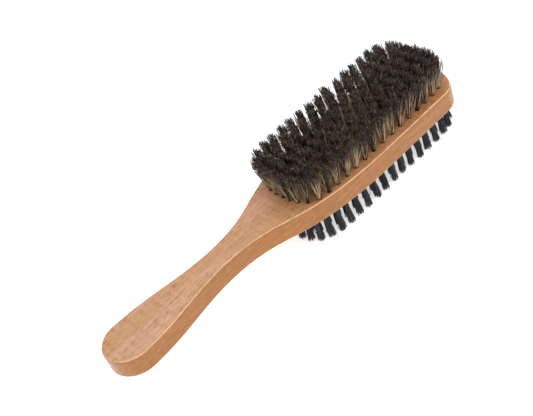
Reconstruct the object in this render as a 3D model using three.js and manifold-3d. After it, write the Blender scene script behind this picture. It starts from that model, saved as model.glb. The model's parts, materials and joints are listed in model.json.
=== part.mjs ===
// Double-sided beard brush: one wooden body with lines of natural bristle on its upper face and lines of
// black nylon bristle on its lower face. Millimetres, +X from the butt to the head's end, +Z up.
// The origin is under the middle of the brush, on the plane that the nylon tips stand on.
import * as THREE from "three";
import { mergeVertices } from "three/addons/utils/BufferGeometryUtils.js";
import Module from "manifold-3d";

// Wooden body.
const handleLength = 106;
const headLength = 119;
const boardThickness = 11;
const edgeRadius = 1.2;
const buttWidth = 26.8;
const waistWidth = 14.5;
const waistFromButt = 69;
const headWidth = 49.2;
const headSidesFromTip = 60; // where the head reaches its full width
const headEndDepth = 15.5; // of the half oval that closes the head
const buttSweep = 22; // lengths of the curve handles that shape the outline
const waistSweepToButt = 20;
const waistSweepToHead = 37;
const headSweep = 64;

// Tuft pattern, the same on both faces: lines of tufts along the head. Every second line has one tuft
// less, so that its tufts stand between those of its neighbours.
const linesEachSide = 4; // on each side of the middle line
const tuftsInMiddleLine = 17;
const outerLineShorterBy = 2;
const firstTuftFromHandle = 8.1;
const lastTuftFromTip = 7;
const sideMargin = 5.6; // from the head's side to the outermost tufts
const standInAtHandle = 1.17; // how much shorter the outermost lines are at each end, in pitches
const standInAtTip = 0.95;
const crowdingAtEnds = 0.05; // share by which the middle of a line is spread and its ends are closed up
const cornerTuck = 0.07; // share by which the end tufts of the outermost lines are drawn in

// Holes and tufts.
const webBetweenHoles = 1.5; // wood left between an upper hole's end and a lower hole's
const holeClearance = 0.35;
const rootRadius = 0.4;
const rootToHoleEnd = 0.3;
const tipOverlap = 0.5; // neighbours in a line grow into each other by this much at the tips
const gapBetweenLines = 2;
const boarHeight = 16;
const boarLeanAcross = 0.15; // outward lean of the outermost tufts, as rise over run
const boarLeanAlong = 0.04;
const nylonHeight = 14;
const nylonLeanAcross = 0.05;
const nylonLeanAlong = 0.02;
const tuftSides = 6;
const cutOvershoot = 0.5;

// Worked out from the sizes above.
const lowerFaceZ = nylonHeight;
const upperFaceZ = lowerFaceZ + boardThickness;
const butt = -(handleLength + headLength) / 2;
const tip = butt + handleLength + headLength;
const holeDepth = (boardThickness - webBetweenHoles) / 2;
const rootDepth = holeDepth - rootToHoleEnd;
const firstTuftX = butt + handleLength + firstTuftFromHandle;
const lastTuftX = tip - lastTuftFromTip;
const fieldMiddleX = (firstTuftX + lastTuftX) / 2;
const fieldHalfLength = (lastTuftX - firstTuftX) / 2;
const fieldHalfWidth = headWidth / 2 - sideMargin;
const pitchAlong = (2 * fieldHalfLength) / (tuftsInMiddleLine - 1);
const pitchAcross = fieldHalfWidth / linesEachSide;
const longestStep = (2 * fieldHalfLength) / (tuftsInMiddleLine - 2);
const widestPitch = longestStep * (1 + crowdingAtEnds);
const flatShare = Math.cos(Math.PI / tuftSides); // of a tuft's radius that its flat sides reach

const wasm = await Module();
wasm.setup();

// A closed geometry as a solid that can be cut and joined.
function solidOf(geometry) {
  const bare = geometry.clone();
  bare.deleteAttribute("normal");
  bare.deleteAttribute("uv");
  const merged = mergeVertices(bare, 1e-4);
  return new wasm.Manifold(
    new wasm.Mesh({
      numProp: 3,
      vertProperties: merged.attributes.position.array,
      triVerts: new Uint32Array(merged.index.array),
    }),
  );
}

function geometryOf(solid) {
  const cut = solid.getMesh();
  const geometry = new THREE.BufferGeometry();
  geometry.setAttribute("position", new THREE.BufferAttribute(cut.vertProperties, 3));
  geometry.setIndex(new THREE.BufferAttribute(cut.triVerts, 1));
  geometry.computeVertexNormals();
  return geometry;
}

// The body's outline from above: round butt, narrow waist, long oval head.
function bodyOutline() {
  const buttRadius = buttWidth / 2;
  const waistX = butt + waistFromButt;
  const sidesX = tip - headSidesFromTip;
  const ovalX = tip - headEndDepth;
  const headHalf = headWidth / 2;
  const waistHalf = waistWidth / 2;
  const outline = new THREE.Shape();
  outline.moveTo(butt + buttRadius, -buttRadius);
  outline.bezierCurveTo(
    butt + buttRadius + buttSweep, -buttRadius,
    waistX - waistSweepToButt, -waistHalf,
    waistX, -waistHalf,
  );
  outline.bezierCurveTo(
    waistX + waistSweepToHead, -waistHalf,
    sidesX - headSweep, -headHalf,
    sidesX, -headHalf,
  );
  outline.lineTo(ovalX, -headHalf);
  outline.absellipse(ovalX, 0, headEndDepth, headHalf, -Math.PI / 2, Math.PI / 2);
  outline.lineTo(sidesX, headHalf);
  outline.bezierCurveTo(
    sidesX - headSweep, headHalf,
    waistX + waistSweepToHead, waistHalf,
    waistX, waistHalf,
  );
  outline.bezierCurveTo(
    waistX - waistSweepToButt, waistHalf,
    butt + buttRadius + buttSweep, buttRadius,
    butt + buttRadius, buttRadius,
  );
  outline.absarc(butt + buttRadius, 0, buttRadius, Math.PI / 2, (3 * Math.PI) / 2);
  return outline;
}

function boardGeometry() {
  const board = new THREE.ExtrudeGeometry(bodyOutline(), {
    depth: boardThickness - 2 * edgeRadius,
    bevelThickness: edgeRadius,
    bevelSize: edgeRadius,
    bevelOffset: -edgeRadius,
    bevelSegments: 3,
    curveSegments: 14,
  });
  return board.translate(0, 0, lowerFaceZ + edgeRadius);
}

// Where the tufts of one lengthwise line meet the face; lines are counted from the middle one.
function tuftPlaces(line) {
  const outwards = line / linesEachSide;
  const isStaggered = line % 2 !== 0;
  const isOutermost = Math.abs(line) === linesEachSide;
  const count = tuftsInMiddleLine - (isStaggered ? 1 : 0) - (isOutermost ? outerLineShorterBy : 0);
  const start = firstTuftX + standInAtHandle * pitchAlong * Math.abs(outwards) ** 3;
  const end = lastTuftX - standInAtTip * pitchAlong * Math.abs(outwards) ** 5;
  const places = [];
  for (let i = 0; i < count; i += 1) {
    const step = (2 * i) / (count - 1) - 1;
    const spread = step * (1 + crowdingAtEnds * (1 - step ** 2));
    const x = (start + end) / 2 + ((end - start) / 2) * spread;
    const y = fieldHalfWidth * outwards * (1 - cornerTuck * outwards ** 4 * step ** 8);
    places.push({ x, y, along: (x - fieldMiddleX) / fieldHalfLength, across: y / fieldHalfWidth });
  }
  return places;
}

// One face's tufts: which way they point, how tall they stand and how far they lean outwards.
function faceOf(name, faceZ, up, height, leanAcross, leanAlong) {
  const tipSpread = 1 + (leanAcross * height) / fieldHalfWidth;
  const lineSpread = 1 + (leanAlong * height) / fieldHalfLength;
  const tipRadiusAcross = (pitchAcross * tipSpread - gapBetweenLines) / (2 * flatShare);
  const tipRadiusAlong = (widestPitch * lineSpread) / 2 + tipOverlap;
  const mouthShare = rootDepth / (rootDepth + height);
  const widestTip = Math.max(tipRadiusAcross, tipRadiusAlong);
  const mouthRadius = rootRadius + (widestTip - rootRadius) * mouthShare;
  return {
    name, faceZ, up, height, leanAcross, leanAlong, tipRadiusAcross, tipRadiusAlong,
    holeRadius: mouthRadius + holeClearance,
  };
}

// A spike with flat ends from `start` to `end`, both counted out from the face, leaning about its place.
function spike(face, place, start, end, startRadius, endRadiusAlong, endRadiusAcross) {
  const rings = [
    { out: start, radiusAlong: startRadius, radiusAcross: startRadius },
    { out: end, radiusAlong: endRadiusAlong, radiusAcross: endRadiusAcross },
  ];
  const points = [];
  for (const ring of rings) {
    for (let i = 0; i < tuftSides; i += 1) {
      const angle = (2 * Math.PI * i) / tuftSides; // corners point along the line, to the neighbours
      const x = place.x + ring.radiusAlong * Math.cos(angle) + face.leanAlong * place.along * ring.out;
      const y = place.y + ring.radiusAcross * Math.sin(angle) + face.leanAcross * place.across * ring.out;
      points.push(x, y, ring.out);
    }
  }
  const triangles = [];
  for (let i = 0; i < tuftSides; i += 1) {
    const next = (i + 1) % tuftSides;
    triangles.push(i, next, next + tuftSides, i, next + tuftSides, i + tuftSides);
    if (i > 0 && next > 0) {
      triangles.push(0, next, i, tuftSides, tuftSides + i, tuftSides + next);
    }
  }
  const shape = new THREE.BufferGeometry();
  shape.setAttribute("position", new THREE.Float32BufferAttribute(points, 3));
  shape.setIndex(triangles);
  if (face.up < 0) shape.rotateX(Math.PI); // the pattern is the same on both sides of the middle
  return shape.translate(0, 0, face.faceZ);
}

function holeSolid(face, place) {
  const r = face.holeRadius;
  return solidOf(spike(face, place, -holeDepth, cutOvershoot, r, r, r));
}

function tuftSolid(face, place) {
  return solidOf(
    spike(face, place, -rootDepth, face.height, rootRadius, face.tipRadiusAlong, face.tipRadiusAcross),
  );
}

const upperFace = faceOf("boar", upperFaceZ, 1, boarHeight, boarLeanAcross, boarLeanAlong);
const lowerFace = faceOf("nylon", lowerFaceZ, -1, nylonHeight, nylonLeanAcross, nylonLeanAlong);

const wood = new THREE.MeshStandardMaterial({ color: 0xc98a4e, roughness: 0.45, metalness: 0 });
const boar = new THREE.MeshStandardMaterial({ color: 0x3a2c22, roughness: 0.7, metalness: 0 });
const nylon = new THREE.MeshStandardMaterial({ color: 0x17171a, roughness: 0.4, metalness: 0 });

function woodBody() {
  let body = solidOf(boardGeometry());
  for (const face of [upperFace, lowerFace]) {
    for (let line = -linesEachSide; line <= linesEachSide; line += 1) {
      for (const place of tuftPlaces(line)) body = body.subtract(holeSolid(face, place));
    }
  }
  const mesh = new THREE.Mesh(geometryOf(body), wood);
  mesh.name = "wood_body";
  return mesh;
}

function bristleLine(face, line, material) {
  const [first, ...others] = tuftPlaces(line);
  let solid = tuftSolid(face, first);
  for (const place of others) solid = solid.add(tuftSolid(face, place));
  const mesh = new THREE.Mesh(geometryOf(solid), material);
  mesh.name = `${face.name}_line_${String(line + linesEachSide + 1).padStart(2, "0")}`;
  return mesh;
}

const brush = new THREE.Group();
brush.add(woodBody());
for (let line = -linesEachSide; line <= linesEachSide; line += 1) {
  brush.add(bristleLine(upperFace, line, boar));
  brush.add(bristleLine(lowerFace, line, nylon));
}

export default brush;
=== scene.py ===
import json
import math

import bpy
import numpy as np
from mathutils import Matrix, Vector

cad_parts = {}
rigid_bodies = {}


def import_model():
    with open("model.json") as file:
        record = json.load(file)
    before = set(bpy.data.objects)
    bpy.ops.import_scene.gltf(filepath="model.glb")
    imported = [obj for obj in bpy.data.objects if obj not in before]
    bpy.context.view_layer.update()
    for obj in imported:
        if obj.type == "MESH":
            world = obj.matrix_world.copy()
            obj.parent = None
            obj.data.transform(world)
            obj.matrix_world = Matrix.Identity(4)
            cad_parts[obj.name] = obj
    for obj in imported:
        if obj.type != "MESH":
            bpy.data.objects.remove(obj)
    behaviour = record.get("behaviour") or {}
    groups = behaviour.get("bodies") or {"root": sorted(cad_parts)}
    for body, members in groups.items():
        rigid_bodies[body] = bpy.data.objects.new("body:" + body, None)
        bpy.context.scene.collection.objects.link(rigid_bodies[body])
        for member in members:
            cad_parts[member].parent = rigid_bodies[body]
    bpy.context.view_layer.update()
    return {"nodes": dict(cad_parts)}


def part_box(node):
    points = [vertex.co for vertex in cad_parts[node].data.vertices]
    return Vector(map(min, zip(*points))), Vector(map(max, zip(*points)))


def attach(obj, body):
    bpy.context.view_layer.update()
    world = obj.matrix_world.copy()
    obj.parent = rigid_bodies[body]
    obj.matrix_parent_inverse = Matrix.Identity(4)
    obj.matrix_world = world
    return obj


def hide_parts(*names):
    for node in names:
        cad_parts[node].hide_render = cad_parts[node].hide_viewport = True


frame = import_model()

mm = 0.001
scene = bpy.context.scene


def tone(red, green, blue):
    # a colour picked on screen, as the linear colour that shaders work in
    def linear(value):
        share = value / 255
        return share / 12.92 if share <= 0.04045 else ((share + 0.055) / 1.055) ** 2.4
    return (linear(red), linear(green), linear(blue), 1.0)


class Value:
    # a shader socket that takes part in plain Python sums
    def __init__(self, tree, socket):
        self.tree = tree
        self.socket = socket

    def math(self, operation, *inputs):
        node = self.tree.nodes.new("ShaderNodeMath")
        node.operation = operation
        for place, item in enumerate(inputs):
            if isinstance(item, Value):
                self.tree.links.new(item.socket, node.inputs[place])
            else:
                node.inputs[place].default_value = item
        return Value(self.tree, node.outputs[0])

    def __add__(self, other):
        return self.math("ADD", self, other)

    def __radd__(self, other):
        return self.math("ADD", other, self)

    def __sub__(self, other):
        return self.math("SUBTRACT", self, other)

    def __rsub__(self, other):
        return self.math("SUBTRACT", other, self)

    def __mul__(self, other):
        return self.math("MULTIPLY", self, other)

    def __rmul__(self, other):
        return self.math("MULTIPLY", other, self)

    def __abs__(self):
        return self.math("ABSOLUTE", self)


class Finish:
    # one material and its node tree
    def __init__(self, name):
        self.material = bpy.data.materials.new(name)
        self.material.use_nodes = True
        self.tree = self.material.node_tree
        self.tree.nodes.clear()

    def add(self, kind, settings=None, values=None, output=0):
        node = self.tree.nodes.new(kind)
        for key, setting in (settings or {}).items():
            if key == "stops":
                self.setStops(node.color_ramp, setting)
            else:
                setattr(node, key, setting)
        for key, item in (values or {}).items():
            if isinstance(item, Value):
                self.tree.links.new(item.socket, node.inputs[key])
            else:
                node.inputs[key].default_value = item
        return Value(self.tree, node.outputs[output]) if node.outputs else node

    def setStops(self, ramp, stops):
        while len(ramp.elements) < len(stops):
            ramp.elements.new(1.0)
        for element, (position, colour) in zip(ramp.elements, stops):
            element.position = position
            element.color = colour

    def mixed(self, share, first, second, blend="MIX"):
        settings = {"data_type": "RGBA", "blend_type": blend, "clamp_factor": True}
        return self.add("ShaderNodeMix", settings, {0: share, 6: first, 7: second}, output=2)

    def stretched(self, place, along, across, through):
        settings = {"operation": "MULTIPLY"}
        return self.add("ShaderNodeVectorMath", settings, {0: place, 1: (along, across, through)})

    def noise(self, place, scale=1.0, detail=2.0, rough=0.5):
        values = {"Vector": place, "Scale": scale, "Detail": detail, "Roughness": rough}
        return self.add("ShaderNodeTexNoise", {}, values)

    def between(self, item, low, high):
        # 0 below low, 1 above high, smooth in between; low may be the larger one
        settings = {"interpolation_type": "SMOOTHSTEP"}
        values = {"Value": item, "From Min": low, "From Max": high}
        return self.add("ShaderNodeMapRange", settings, values)

    def surface(self, values):
        shader = self.add("ShaderNodeBsdfPrincipled", {}, values)
        self.add("ShaderNodeOutputMaterial", {}, {"Surface": shader})
        return self.material


def newPiece(name, mesh, material):
    piece = bpy.data.objects.new(name, mesh)
    piece.data.materials.append(material)
    scene.collection.objects.link(piece)
    return piece


def meshOf(name, points, faces):
    mesh = bpy.data.meshes.new(name)
    mesh.from_pydata([tuple(p) for p in points], [], [tuple(f) for f in faces])
    mesh.validate()
    mesh.update()
    return mesh


view = {
    "lookAt": (-8.17 * mm, 2.01 * mm, 25.0 * mm),
    "azimuth": -29.21,
    "elevation": 39.31,
    "roll": -22.89,
    "distance": 476.9 * mm,
    "lens": 67.54,
    "sensorWidth": 36.0,
    "nearest": 0.01,
    "farthest": 20.0,
}


def placeCamera():
    azimuth, elevation, roll = (math.radians(view[k]) for k in ("azimuth", "elevation", "roll"))
    back = Vector((
        math.sin(azimuth) * math.cos(elevation),
        -math.cos(azimuth) * math.cos(elevation),
        math.sin(elevation),
    ))
    right = Vector((math.cos(azimuth), math.sin(azimuth), 0))
    up = back.cross(right)
    cameraX = math.cos(roll) * right + math.sin(roll) * up
    cameraY = math.cos(roll) * up - math.sin(roll) * right
    data = bpy.data.cameras.new("camera")
    data.lens = view["lens"]
    data.sensor_width = view["sensorWidth"]
    data.clip_start = view["nearest"]
    data.clip_end = view["farthest"]
    camera = bpy.data.objects.new("camera", data)
    turn = Matrix((cameraX, cameraY, back)).transposed().to_4x4()
    camera.matrix_world = Matrix.Translation(Vector(view["lookAt"]) + back * view["distance"]) @ turn
    scene.collection.objects.link(camera)
    scene.camera = camera
    print("camera:", round(view["distance"] / mm), "mm away")


studio = {
    "worldStrength": 0.76,
    "paper": (tone(247, 247, 247), tone(252, 252, 252)),
    "paperRoughness": 0.9,
    "paperFibre": 900.0,
    "floorGlow": 0.60,
    "floorReach": 6.0,
    # name: place, aimed at, width, height, watts
    "lamps": {
        "overhead": ((-0.10, 0.10, 0.95), (0, 0, 0.02), 0.9, 0.7, 1.0),
        "front": ((-0.25, -0.95, 0.55), (0, 0, 0.02), 0.8, 0.6, 0.9),
        "edgeStrip": ((0.35, -0.35, 0.85), (0.35, 0, 0.02), 0.9, 0.02, 2.4),
        "buttStrip": ((-0.85, -0.50, 0.20), (-0.10, 0, 0.02), 0.10, 0.7, 1.6),
    },
}


def placeLamps():
    for name, (place, target, width, height, watts) in studio["lamps"].items():
        data = bpy.data.lights.new(name, "AREA")
        data.shape = "RECTANGLE"
        data.size = width
        data.size_y = height
        data.energy = watts
        lamp = bpy.data.objects.new(name, data)
        aim = (Vector(target) - Vector(place)).to_track_quat("-Z", "Y")
        lamp.matrix_world = Matrix.Translation(place) @ aim.to_matrix().to_4x4()
        scene.collection.objects.link(lamp)
    world = bpy.data.worlds.new("studio")
    world.use_nodes = True
    background = world.node_tree.nodes["Background"]
    background.inputs["Color"].default_value = (1, 1, 1, 1)
    background.inputs["Strength"].default_value = studio["worldStrength"]
    scene.world = world
    print("studio:", len(studio["lamps"]), "lamps")


def layFloor():
    finish = Finish("floor_paper")
    place = finish.add("ShaderNodeTexCoord", output="Object")
    fibre = finish.noise(place, scale=studio["paperFibre"], detail=3.0)
    paper = finish.mixed(fibre, *studio["paper"])
    bump = finish.add("ShaderNodeBump", {}, {"Height": fibre, "Strength": 0.02, "Distance": 0.1 * mm})
    material = finish.surface({
        "Base Color": paper,
        "Roughness": studio["paperRoughness"],
        "Normal": bump,
        "Emission Color": (1, 1, 1, 1),
        "Emission Strength": studio["floorGlow"],
    })
    reach = studio["floorReach"]
    corners = [(-reach, -reach, 0), (reach, -reach, 0), (reach, reach, 0), (-reach, reach, 0)]
    floor = newPiece("floor", meshOf("floor", corners, [(0, 1, 2, 3)]), material)


board = {
    "buttWidth": 26.8 * mm,
    "waistWidth": 14.5 * mm,
    "waistFromButt": 69.0 * mm,
    "headSidesFromTip": 60.0 * mm,
    "headEndDepth": 15.5 * mm,
    "buttSweep": 22.0 * mm,
    "waistSweepToButt": 20.0 * mm,
    "waistSweepToHead": 37.0 * mm,
    "headSweep": 64.0 * mm,
    "edgeRadius": 1.2 * mm,
    "edgeSteps": 6,
    "curveSteps": 40,
    "straightSteps": 4,
    "sharpAngle": 35,     # degrees; edges sharper than this stay crisp
}
woodLow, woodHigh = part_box("wood_body")
butt, tip = woodLow.x, woodHigh.x
headHalf = woodHigh.y
lowerFaceZ, upperFaceZ = woodLow.z, woodHigh.z


def bezier(start, startHandle, endHandle, end, steps):
    points = []
    for step in range(steps):
        t = step / steps
        weights = ((1 - t) ** 3, 3 * t * (1 - t) ** 2, 3 * t * t * (1 - t), t ** 3)
        corners = (start, startHandle, endHandle, end)
        points.append(sum((w * Vector(c) for w, c in zip(weights, corners)), Vector((0, 0))))
    return points


def arc(centre, radiusX, radiusY, fromAngle, toAngle, steps):
    angles = [fromAngle + (toAngle - fromAngle) * step / steps for step in range(steps)]
    return [Vector((centre + radiusX * math.cos(a), radiusY * math.sin(a))) for a in angles]


def boardOutline():
    # anticlockwise from the side of the butt: side, head's end, side, butt
    buttRadius = board["buttWidth"] / 2
    waistHalf = board["waistWidth"] / 2
    waistX = butt + board["waistFromButt"]
    sidesX = tip - board["headSidesFromTip"]
    ovalX = tip - board["headEndDepth"]
    steps = board["curveSteps"]
    toWaist = bezier(
        (butt + buttRadius, -buttRadius),
        (butt + buttRadius + board["buttSweep"], -buttRadius),
        (waistX - board["waistSweepToButt"], -waistHalf),
        (waistX, -waistHalf), steps)
    toHead = bezier(
        (waistX, -waistHalf),
        (waistX + board["waistSweepToHead"], -waistHalf),
        (sidesX - board["headSweep"], -headHalf),
        (sidesX, -headHalf), steps)
    headSide = bezier(
        (sidesX, -headHalf),
        (sidesX, -headHalf),
        (ovalX, -headHalf),
        (ovalX, -headHalf), board["straightSteps"])
    nearSide = toWaist + toHead + headSide
    headEnd = arc(ovalX, tip - ovalX, headHalf, -math.pi / 2, math.pi / 2, 2 * steps)
    corner = Vector((ovalX, headHalf))
    farSide = [Vector((p.x, -p.y)) for p in reversed(nearSide[1:])]
    buttEnd = arc(butt + buttRadius, buttRadius, buttRadius, math.pi / 2, 3 * math.pi / 2, steps)
    return nearSide + headEnd + [corner] + farSide + buttEnd


def boardMesh():
    outline = np.array([tuple(p) for p in boardOutline()])
    ahead = np.roll(outline, -1, axis=0) - np.roll(outline, 1, axis=0)
    outward = np.stack([ahead[:, 1], -ahead[:, 0]], axis=1)
    outward /= np.linalg.norm(outward, axis=1)[:, None]
    radius = board["edgeRadius"]
    turns = [math.pi / 2 * step / board["edgeSteps"] for step in range(board["edgeSteps"] + 1)]
    lowerEdge = [(radius * (1 - math.sin(a)), lowerFaceZ + radius * (1 - math.cos(a))) for a in turns]
    upperEdge = [(inset, upperFaceZ + lowerFaceZ - z) for inset, z in reversed(lowerEdge)]
    rings = lowerEdge + upperEdge
    points = []
    for inset, z in rings:
        points += [(x, y, z) for x, y in outline - outward * inset]
    count = len(outline)
    walls = []
    for level in range(len(rings) - 1):
        for i in range(count):
            j = (i + 1) % count
            base = level * count
            walls.append((base + i, base + j, base + count + j, base + count + i))
    walls.append(tuple(reversed(range(count))))
    walls.append(tuple((len(rings) - 1) * count + i for i in range(count)))
    return meshOf("board", points, walls)


tufts = {
    "holeRadius": 1.2 * mm,
    "holeDepth": 4.75 * mm,
    "holeSides": 20,
    "holeChamfer": 0.18 * mm,
    "bottomShare": 0.93,         # a hole narrows a little from its mouth to its bottom
    "mouthShare": 0.97,
    "cutOvershoot": 0.5 * mm,
    "rootToHoleEnd": 0.35 * mm,
    "rootSlice": 0.05 * mm,      # points of a packed line this near to its deepest one are roots
    "rootGap": 1.0 * mm,         # roots further apart than this belong to different tufts
}
faces = {
    "boar": {"faceZ": upperFaceZ, "up": 1, "leanAcross": 0.15, "leanAlong": 0.04},
    "nylon": {"faceZ": lowerFaceZ, "up": -1, "leanAcross": 0.05, "leanAlong": 0.02},
}


def lineNames(kind):
    return sorted(name for name in frame["nodes"] if name.startswith(kind + "_line_"))


def rootCentres(node, up):
    # the middle of each tuft's root in a packed line, from the handle to the tip
    points = sorted((v.co for v in frame["nodes"][node].data.vertices), key=lambda p: p.x)
    deepest = min(up * p.z for p in points)
    groups = []
    for p in (p for p in points if up * p.z < deepest + tufts["rootSlice"]):
        if not groups or p.x - groups[-1][-1].x > tufts["rootGap"]:
            groups.append([])
        groups[-1].append(p)
    return [Vector(((g[0].x + g[-1].x) / 2, (min(p.y for p in g) + max(p.y for p in g)) / 2)) for g in groups]


def tuftsOf(kind):
    # for each line, its tufts' places in the face and their lean, as run over rise
    face = faces[kind]
    centres = {name: rootCentres(name, face["up"]) for name in lineNames(kind)}
    everyX = [c.x for line in centres.values() for c in line]
    everyY = [c.y for line in centres.values() for c in line]
    middle = (min(everyX) + max(everyX)) / 2
    halfLength = (max(everyX) - min(everyX)) / 2
    halfWidth = max(everyY)
    lines = {}
    for name, line in centres.items():
        low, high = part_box(name)
        depth = face["faceZ"] - low.z if face["up"] > 0 else high.z - face["faceZ"]
        lines[name] = []
        for c in line:
            lean = Vector((
                face["leanAlong"] * (c.x - middle) / halfLength,
                face["leanAcross"] * c.y / halfWidth,
            ))
            lines[name].append((c + lean * depth, lean))
    return lines


boarLines = tuftsOf("boar")
nylonLines = tuftsOf("nylon")


def holeCutters():
    sides = tufts["holeSides"]
    radius = tufts["holeRadius"]
    chamfer = tufts["holeChamfer"]
    rings = [
        (-tufts["holeDepth"], radius * tufts["bottomShare"]),
        (-chamfer, radius * tufts["mouthShare"]),
        (0.0, radius + chamfer),
        (tufts["cutOvershoot"], radius + chamfer),
    ]
    points, walls = [], []
    for kind, lines in (("boar", boarLines), ("nylon", nylonLines)):
        face = faces[kind]
        for place, lean in (tuft for line in lines.values() for tuft in line):
            first = len(points)
            for out, ringRadius in rings:
                centre = place + lean * out
                for i in range(sides):
                    angle = 2 * math.pi * i / sides * face["up"]
                    points.append((
                        centre.x + ringRadius * math.cos(angle),
                        centre.y + ringRadius * math.sin(angle),
                        face["faceZ"] + face["up"] * out,
                    ))
            for level in range(len(rings) - 1):
                base = first + level * sides
                for i in range(sides):
                    j = (i + 1) % sides
                    walls.append((base + i, base + j, base + sides + j, base + sides + i))
            walls.append(tuple(first + i for i in reversed(range(sides))))
            last = first + (len(rings) - 1) * sides
            walls.append(tuple(last + i for i in range(sides)))
    return meshOf("hole_cutters", points, walls)


def finishedMesh(piece):
    # the mesh with its modifiers worked in
    graph = bpy.context.evaluated_depsgraph_get()
    return bpy.data.meshes.new_from_object(piece.evaluated_get(graph))


woodLook = {
    "pink": tone(218, 168, 136),
    "honey": tone(208, 158, 114),
    "orange": tone(192, 130, 78),
    # painted shade: the sides get a darker colour than the top
    "side": tone(152, 95, 26),
    # painted highlight: the pale colour of the light line along the rounded edges
    "edgeHighlight": tone(246, 206, 158),
    "poreDark": tone(118, 70, 40),
    "orangeFrom": -40.0,     # where along the brush, in millimetres, the handle's pink turns to orange
    "orangeTo": 40.0,
    "headOrangeAndShade": 0.70,      # how strongly each thing shows, from 0 to 1
    "streakShare": 0.52,
    "mottleShare": 0.22,
    "hairlineShare": 0.50,
    "poreShare": 0.64,
    "highlightOnHandle": 0.30,
    "highlightOnHead": 0.65,
    "swayBy": 9.0,           # how far the grain wanders sideways, in millimetres
    "poreLength": 6.5,       # millimetres from one pore to the next along the grain, and across it
    "poreSpacing": 0.42,
    "finePores": (0.55, 0.8, 31.0),   # a second set: its length and spacing against the first, and its shift
    "roughness": 0.40,
    "specular": 0.3,
    "coat": 0.4,
    "coatRoughness": 0.15,
    "relief": 0.06 * mm,
    "reliefStrength": 0.22,
}


def woodFinish():
    finish = Finish("lacquered_wood")
    place = finish.add("ShaderNodeTexCoord", output="Object")
    millimetres = finish.stretched(place, 1000, 1000, 1000)
    normal = finish.add("ShaderNodeTexCoord", output="Normal")
    facing = abs(finish.add("ShaderNodeSeparateXYZ", {}, {"Vector": normal}, output="Z"))
    onShadedSide = 1 - finish.between(facing, 0.35, 0.8)

    # the grain's lines run along the board and sway a little; all scales are per millimetre
    sway = finish.noise(finish.stretched(millimetres, 0.018, 0.03, 0.03), detail=1.0)
    along = finish.add("ShaderNodeSeparateXYZ", {}, {"Vector": millimetres}, output="X")
    sideways = finish.add("ShaderNodeSeparateXYZ", {}, {"Vector": millimetres}, output="Y")
    height = finish.add("ShaderNodeSeparateXYZ", {}, {"Vector": millimetres}, output="Z")
    across = sideways + height + (sway - 0.5) * woodLook["swayBy"]
    grained = finish.add("ShaderNodeCombineXYZ", {}, {"X": along, "Y": across, "Z": height * 0.3})

    zones = finish.noise(finish.stretched(grained, 0.022, 0.09, 0.09), detail=2.0)
    streaks = finish.noise(finish.stretched(grained, 0.03, 1.1, 1.1), detail=4.0, rough=0.62)
    hairlines = finish.noise(finish.stretched(grained, 0.05, 4.0, 4.0), detail=2.0)
    mottle = finish.noise(finish.stretched(grained, 0.35, 0.5, 0.5), detail=3.0)

    base = finish.mixed(finish.between(zones, 0.38, 0.62), woodLook["pink"], woodLook["honey"])
    # towards the head the wood turns orange: partly its own tone, partly painted shade from the bristles over
    # the head
    towardsHead = finish.between(along, woodLook["orangeFrom"], woodLook["orangeTo"])
    base = finish.mixed(towardsHead * woodLook["headOrangeAndShade"], base, woodLook["orange"])
    # painted shade: the sides are painted darker than the top
    base = finish.mixed(onShadedSide, base, woodLook["side"])
    for pattern, high, share, colour in (
        (streaks, 0.72, "streakShare", "orange"),
        (mottle, 0.70, "mottleShare", "orange"),
        (hairlines, 0.72, "hairlineShare", "poreDark"),
    ):
        base = finish.mixed(finish.between(pattern, 0.45, high) * woodLook[share], base, woodLook[colour])

    # painted highlight: the rounded edges are painted pale, as the light line along them, stronger towards
    # the head
    edgeHighlight = finish.between(facing, 0.52, 0.66) * finish.between(facing, 0.95, 0.84)
    highlightRise = woodLook["highlightOnHead"] - woodLook["highlightOnHandle"]
    base = finish.mixed(edgeHighlight * (woodLook["highlightOnHandle"] + towardsHead * highlightRise), base, woodLook["edgeHighlight"])

    # pores are the middles of long thin cells, some of the cells only, and gathered in loose groups
    pores = 0
    for length, spacing, shift in ((1.0, 1.0, 0.0), woodLook["finePores"]):
        cell = finish.add("ShaderNodeCombineXYZ", {}, {
            "X": (along + shift) * (1 / (woodLook["poreLength"] * length)),
            "Y": across * (1 / (woodLook["poreSpacing"] * spacing)),
        })
        values = {"Vector": cell, "Scale": 1.0, "Randomness": 1.0}
        distance = finish.add("ShaderNodeTexVoronoi", {"voronoi_dimensions": "2D"}, values, output="Distance")
        pick = finish.add("ShaderNodeTexVoronoi", {"voronoi_dimensions": "2D"}, values, output="Color")
        likely = finish.add("ShaderNodeSeparateColor", {}, {"Color": pick}, output="Red")
        pores = finish.between(distance, 0.34, 0.16) * finish.between(likely, 0.38, 0.55) + pores
    groups = finish.noise(finish.stretched(grained, 0.045, 0.16, 0.16), detail=1.0)
    pores = pores * (0.35 + finish.between(groups, 0.35, 0.60) * 0.65) * (1 - onShadedSide * 0.45)
    base = finish.mixed(pores * woodLook["poreShare"], base, woodLook["poreDark"])

    rough = woodLook["roughness"] + (streaks - 0.5) * 0.18 + pores * 0.15
    relief = streaks * 0.4 + hairlines * 0.2 - pores
    bump = finish.add("ShaderNodeBump", {}, {
        "Height": relief,
        "Strength": woodLook["reliefStrength"],
        "Distance": woodLook["relief"],
    })
    return finish.surface({
        "Base Color": base,
        "Roughness": rough,
        "Normal": bump,
        "Coat Weight": woodLook["coat"],
        "Coat Roughness": woodLook["coatRoughness"],
        "Specular IOR Level": woodLook["specular"],
    })


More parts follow.
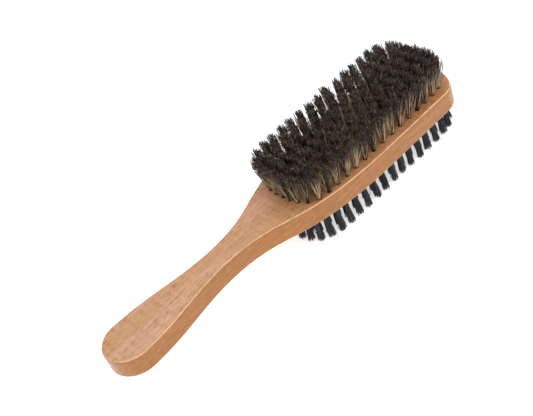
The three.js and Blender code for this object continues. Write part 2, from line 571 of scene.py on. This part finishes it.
def makeBody():
    body = newPiece("brush_body", boardMesh(), woodFinish())
    cutter = newPiece("hole_cutters", holeCutters(), body.data.materials[0])
    drill = body.modifiers.new("tuft holes", "BOOLEAN")
    drill.operation = "DIFFERENCE"
    drill.solver = "EXACT"
    drill.object = cutter
    drilled = finishedMesh(body)
    body.modifiers.clear()
    body.data = drilled
    bpy.data.objects.remove(cutter)
    drilled.polygons.foreach_set("use_smooth", [True] * len(drilled.polygons))
    drilled.set_sharp_from_angle(angle=math.radians(board["sharpAngle"]))
    evened = body.modifiers.new("even faces", "WEIGHTED_NORMAL")
    evened.keep_sharp = True
    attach(body, "root")
    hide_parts("wood_body")
    print("body:", len(drilled.polygons), "faces")


bristles = {
    "boar": {
        "seed": 11,
        "perTuft": 100,
        "clumps": 16,          # bristles of one clump are alike in colour
        "steps": 7,
        "height": 16.0 * mm,
        "rootRadius": 0.14 * mm,
        "tipRadius": 0.10 * mm,
        "spreadAlong": 1.98,     # how far the tips stand apart, times the spacing at the hole
        "spreadAcross": 2.75,
        "scatter": 0.40 * mm,
        "tuftSway": 0.45 * mm,   # how far a whole tuft stands off its line at the tip
        "flare": 0.88,           # 1 opens like a cone, less opens early, more stays slim at the foot
        "curl": 0.42 * mm,
        "unevenTips": 0.60 * mm,
        "shortShare": 0.12,
        "shortBy": 4.0 * mm,
        "strayShare": 0.07,
        "strayBy": 1.4 * mm,
        "pastTips": 0.3 * mm,
    },
    "nylon": {
        "seed": 23,
        "perTuft": 84,
        "clumps": 12,
        "steps": 5,
        "height": 14.0 * mm,
        "rootRadius": 0.15 * mm,
        "tipRadius": 0.14 * mm,
        "spreadAlong": 2.0,
        "spreadAcross": 1.8,
        "scatter": 0.14 * mm,
        "tuftSway": 0.22 * mm,
        "flare": 1.2,
        "curl": 0.12 * mm,
        "unevenTips": 0.60 * mm,
        "shortShare": 0.20,
        "shortBy": 2.4 * mm,
        "strayShare": 0.012,
        "strayBy": 1.6 * mm,
        "pastTips": 0.0,
    },
}
sidesPerBristle = 4
clumpShare = 0.4       # of a bristle's shade that it has from its clump
spreadVariety = 0.15   # how much one tuft opens more or less than another
curlTurns = 4.2        # radians of a bristle's curl over its height


def bristlePaths(kind, line, chance):
    # every bristle's points from the bottom of its hole to its tip, how far along each is, and its shade
    look = bristles[kind]
    face = faces[kind]
    count = look["perTuft"]
    steps = look["steps"]
    buried = tufts["holeDepth"] - tufts["rootToHoleEnd"]
    room = tufts["holeRadius"] * tufts["bottomShare"] - look["rootRadius"]
    spread = np.array([look["spreadAlong"], look["spreadAcross"]]) - 1
    paths, alongs, shades = [], [], []
    for place, lean in line:
        angle = chance.uniform(0, 2 * math.pi, count)
        inHole = room * np.sqrt(chance.uniform(0, 1, count))
        offset = np.stack([np.cos(angle), np.sin(angle)], axis=1) * inHole[:, None]
        clumps = chance.uniform(-1, 1, (look["clumps"], 2)) * tufts["holeRadius"]
        nearest = np.argmin(np.linalg.norm(offset[:, None] - clumps[None], axis=2), axis=1)
        clumpShade = chance.uniform(0, 1, look["clumps"])[nearest]
        shades.append(clumpShare * clumpShade + (1 - clumpShare) * chance.uniform(0, 1, count))
        opening = chance.uniform(1 - spreadVariety, 1 + spreadVariety)
        fan = offset * spread * opening + chance.normal(0, look["scatter"], (count, 2))
        fan += chance.normal(0, look["tuftSway"], 2)
        stray = chance.uniform(0, 1, count) < look["strayShare"]
        fan += stray[:, None] * chance.normal(0, look["strayBy"], (count, 2))
        length = look["height"] + look["pastTips"] - np.abs(chance.normal(0, look["unevenTips"], count))
        short = chance.uniform(0, 1, count) < look["shortShare"]
        length -= short * chance.uniform(0, look["shortBy"], count)
        curlTurn = chance.uniform(0, 2 * math.pi, (count, 2))
        curlSize = chance.normal(0, look["curl"], (count, 2))
        share = np.concatenate([[-buried / look["height"], 0.0], np.linspace(0, 1, steps)[1:]])
        path = np.zeros((count, len(share), 3))
        for i, s in enumerate(share):
            out = s * length if s > 0 else np.full(count, s * look["height"])
            above = max(s, 0.0)
            bend = above ** look["flare"]
            wave = (np.sin(curlTurn + curlTurns * above) - np.sin(curlTurn)) * curlSize * above ** 0.5
            side = offset + fan * bend + wave
            path[:, i, 0] = place.x + lean.x * out + side[:, 0]
            path[:, i, 1] = place.y + lean.y * out + side[:, 1]
            path[:, i, 2] = face["faceZ"] + face["up"] * out
        paths.append(path)
        alongs.append(np.tile(np.clip(share, 0, 1), (count, 1)))
    return np.concatenate(paths), np.concatenate(alongs), np.concatenate(shades)


def bristleMesh(kind, name, line, chance):
    look = bristles[kind]
    up = faces[kind]["up"]
    paths, alongs, shades = bristlePaths(kind, line, chance)
    total, rings = alongs.shape
    radius = look["rootRadius"] + (look["tipRadius"] - look["rootRadius"]) * alongs
    turn = chance.uniform(0, 2 * math.pi, total)
    angles = turn[:, None] + up * np.arange(sidesPerBristle) * 2 * math.pi / sidesPerBristle
    circle = np.stack([np.cos(angles), np.sin(angles), np.zeros_like(angles)], axis=2)
    points = paths[:, :, None, :] + circle[:, None, :, :] * radius[:, :, None, None]
    # quads up each bristle, then one at its root and one at its tip
    quads = []
    for ring in range(rings - 1):
        for side in range(sidesPerBristle):
            nextSide = (side + 1) % sidesPerBristle
            low, high = ring * sidesPerBristle, (ring + 1) * sidesPerBristle
            quads.append((low + side, low + nextSide, high + nextSide, high + side))
    last = (rings - 1) * sidesPerBristle
    quads.append((3, 2, 1, 0))
    quads.append((last, last + 1, last + 2, last + 3))
    oneBristle = np.array(quads)
    starts = np.arange(total)[:, None, None] * rings * sidesPerBristle
    corners = (oneBristle[None] + starts).reshape(-1, 4)
    mesh = bpy.data.meshes.new(name)
    mesh.vertices.add(total * rings * sidesPerBristle)
    mesh.vertices.foreach_set("co", points.astype(np.float32).ravel())
    mesh.loops.add(corners.size)
    mesh.loops.foreach_set("vertex_index", corners.astype(np.int32).ravel())
    mesh.polygons.add(len(corners))
    mesh.polygons.foreach_set("loop_start", np.arange(0, corners.size, 4, dtype=np.int32))
    mesh.update(calc_edges=True)
    mesh.validate()
    mesh.polygons.foreach_set("use_smooth", np.ones(len(corners), dtype=bool))
    keep(mesh, "shade", np.repeat(shades, rings * sidesPerBristle))
    keep(mesh, "along", np.repeat(alongs, sidesPerBristle, axis=1).ravel())
    layOut(mesh, total, rings, corners)
    return mesh


def keep(mesh, name, values):
    attribute = mesh.attributes.new(name, "FLOAT", "POINT")
    attribute.data.foreach_set("value", values.astype(np.float32))


bakeCell = {
    "lengthByWidth": 2.5,
    "sideMargin": 0.2,
    "endMargin": 0.1,
}


def layOut(mesh, total, rings, corners):
    # each bristle gets its own small cell of the picture square, so that a bake keeps its colours apart
    columns = math.ceil(math.sqrt(total * bakeCell["lengthByWidth"]))
    rows = math.ceil(total / columns)
    vertex = corners.ravel()
    bristle = vertex // (rings * sidesPerBristle)
    ring = vertex % (rings * sidesPerBristle) // sidesPerBristle
    side = vertex % sidesPerBristle
    sideMargin, endMargin = bakeCell["sideMargin"], bakeCell["endMargin"]
    across = sideMargin + (1 - 2 * sideMargin) * side / (sidesPerBristle - 1)
    along = endMargin + (1 - 2 * endMargin) * ring / (rings - 1)
    u = (bristle % columns + across) / columns
    v = (bristle // columns + along) / rows
    layer = mesh.uv_layers.new(name="OFBake")
    layer.data.foreach_set("uv", np.stack([u, v], axis=1).astype(np.float32).ravel())


boarLook = {
    # stops from the darkest bristles to the palest
    "strands": [
        (0.0, tone(22, 15, 12)),
        (0.43, tone(34, 23, 18)),
        (0.50, tone(92, 68, 49)),
        (0.56, tone(176, 150, 116)),
        (0.80, tone(202, 182, 148)),
        (1.0, tone(226, 212, 186)),
    ],
    # painted shade at the roots of the bristles
    "root": tone(34, 24, 19),
    # the tips' near-black is partly their own colour, partly painted shade
    "tipDarkAndShade": tone(17, 11, 10),
    "tipPurple": tone(62, 38, 40),
    "tipOlive": tone(54, 48, 34),
    "rootDarkTo": 0.07,      # shares of a bristle's height
    "tipDarkFrom": 0.56,
    "tipDarkTo": 0.90,
    "rootShare": 0.80,       # how strongly each thing shows, from 0 to 1
    "tipShare": 0.98,
    "paleSpecks": 0.44,
    "patchScale": 160.0,     # per metre
    "speckScale": 950.0,
    "fineScale": 1500.0,
    "lotTurns": 37,          # turns a bristle's shade into another number of its own
    "roughness": 0.45,
    "specular": 0.4,
}


def boarFinish():
    finish = Finish("boar_bristle")
    shade = finish.add("ShaderNodeAttribute", {"attribute_name": "shade"}, output="Fac")
    along = finish.add("ShaderNodeAttribute", {"attribute_name": "along"}, output="Fac")
    place = finish.add("ShaderNodeTexCoord", output="Object")
    patches = finish.noise(place, scale=boarLook["patchScale"], detail=1.0)
    fine = finish.noise(place, scale=boarLook["fineScale"], detail=1.0)
    strands = {"stops": boarLook["strands"]}
    hair = finish.add("ShaderNodeValToRGB", strands, {"Fac": shade * 0.85 + fine * 0.15})

    # the tips are dark, in patches of purple and olive, with pale specks; the darkness is partly the
    # bristles' own colour and partly painted shade from deep in the pad
    tip = finish.mixed(finish.between(patches, 0.42, 0.58), boarLook["tipPurple"], boarLook["tipOlive"])
    lot = (shade * boarLook["lotTurns"]).math("FRACT")
    specks = finish.noise(place, scale=boarLook["speckScale"], detail=1.0) + (lot - 0.5) * 0.12
    tip = finish.mixed(finish.between(specks, 0.52, 0.40), tip, boarLook["tipDarkAndShade"])
    paleTips = finish.between(specks, 0.50, 0.62) * boarLook["paleSpecks"]
    nearTip = finish.between(along, boarLook["tipDarkFrom"], boarLook["tipDarkTo"])
    hair = finish.mixed(nearTip * (boarLook["tipShare"] - paleTips), hair, tip)
    # painted shade: the bristles are darker at their roots, where they go into the holes among the tufts
    rootShade = finish.between(along, boarLook["rootDarkTo"], 0.0)
    hair = finish.mixed(rootShade * boarLook["rootShare"], hair, boarLook["root"])
    bump = finish.add("ShaderNodeBump", {}, {"Height": fine, "Strength": 0.15, "Distance": 0.02 * mm})
    return finish.surface({
        "Base Color": hair,
        "Roughness": boarLook["roughness"] + fine * 0.25,
        "Normal": bump,
        "Specular IOR Level": boarLook["specular"],
    })


nylonLook = {
    "dark": tone(12, 12, 15),
    "light": tone(38, 39, 48),
    "tip": tone(80, 82, 92),
    "tipFrom": 0.9,          # share of a bristle's height
    "tipShare": 0.30,
    "fineScale": 1200.0,     # per metre
    "roughness": 0.32,
    "specular": 0.45,
}


def nylonFinish():
    finish = Finish("nylon_bristle")
    shade = finish.add("ShaderNodeAttribute", {"attribute_name": "shade"}, output="Fac")
    along = finish.add("ShaderNodeAttribute", {"attribute_name": "along"}, output="Fac")
    place = finish.add("ShaderNodeTexCoord", output="Object")
    fine = finish.noise(place, scale=nylonLook["fineScale"], detail=1.0)
    thread = finish.mixed(shade * 0.8 + fine * 0.2, nylonLook["dark"], nylonLook["light"])
    nearTip = finish.between(along, nylonLook["tipFrom"], 1.0)
    thread = finish.mixed(nearTip * nylonLook["tipShare"], thread, nylonLook["tip"])
    bump = finish.add("ShaderNodeBump", {}, {"Height": fine, "Strength": 0.1, "Distance": 0.02 * mm})
    return finish.surface({
        "Base Color": thread,
        "Roughness": nylonLook["roughness"] + fine * 0.2,
        "Normal": bump,
        "Specular IOR Level": nylonLook["specular"],
    })


def makeBristles(kind, lines, material):
    chance = np.random.default_rng(bristles[kind]["seed"])
    total = 0
    for node, line in lines.items():
        piece = newPiece(node.replace("line", "bristles"), bristleMesh(kind, node, line, chance), material)
        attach(piece, "root")
        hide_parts(node)
        total += len(piece.data.polygons)
    print(kind, "bristles:", len(lines), "lines,", total, "faces")


anchor = {
    "length": 2.5 * mm,   # a little more than the hole's width, so that its ends bite into the wood
    "height": 0.55 * mm,
    "thickness": 0.28 * mm,
    "bow": 0.12 * mm,
    "offBottom": 0.02 * mm,
    "steps": 6,
    "brass": (tone(176, 140, 72), tone(214, 182, 110)),
    "roughness": 0.28,
}


def anchorFinish():
    finish = Finish("brass_wire")
    place = finish.add("ShaderNodeTexCoord", output="Object")
    drawn = finish.noise(finish.stretched(place, 300, 4000, 4000), detail=2.0)
    return finish.surface({
        "Base Color": finish.mixed(drawn, *anchor["brass"]),
        "Metallic": 1.0,
        "Roughness": anchor["roughness"] + drawn * 0.2,
    })


def makeAnchors():
    points, walls = [], []
    for kind, lines in (("boar", boarLines), ("nylon", nylonLines)):
        face = faces[kind]
        for place, lean in (tuft for line in lines.values() for tuft in line):
            first = len(points)
            bottom = -tufts["holeDepth"] + anchor["offBottom"]
            for step in range(anchor["steps"] + 1):
                share = 2 * step / anchor["steps"] - 1
                rise = bottom + anchor["bow"] * share * share
                for thick, high in ((-0.5, 0), (0.5, 0), (0.5, 1), (-0.5, 1)):
                    out = rise + high * anchor["height"]
                    centre = place + lean * out
                    points.append((
                        centre.x + thick * anchor["thickness"] * face["up"],
                        centre.y + share * anchor["length"] / 2,
                        face["faceZ"] + face["up"] * out,
                    ))
            for step in range(anchor["steps"]):
                base = first + 4 * step
                for i in range(4):
                    j = (i + 1) % 4
                    walls.append((base + i, base + i + 4, base + j + 4, base + j))
            last = first + 4 * anchor["steps"]
            walls.append((first, first + 1, first + 2, first + 3))
            walls.append((last + 3, last + 2, last + 1, last))
    piece = newPiece("anchor_wires", meshOf("anchor_wires", points, walls), anchorFinish())
    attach(piece, "root")
    print("anchors:", len(walls), "faces")


scene.view_settings.view_transform = "Standard"
placeCamera()
placeLamps()
layFloor()
makeBody()
makeBristles("boar", boarLines, boarFinish())
makeBristles("nylon", nylonLines, nylonFinish())
makeAnchors()
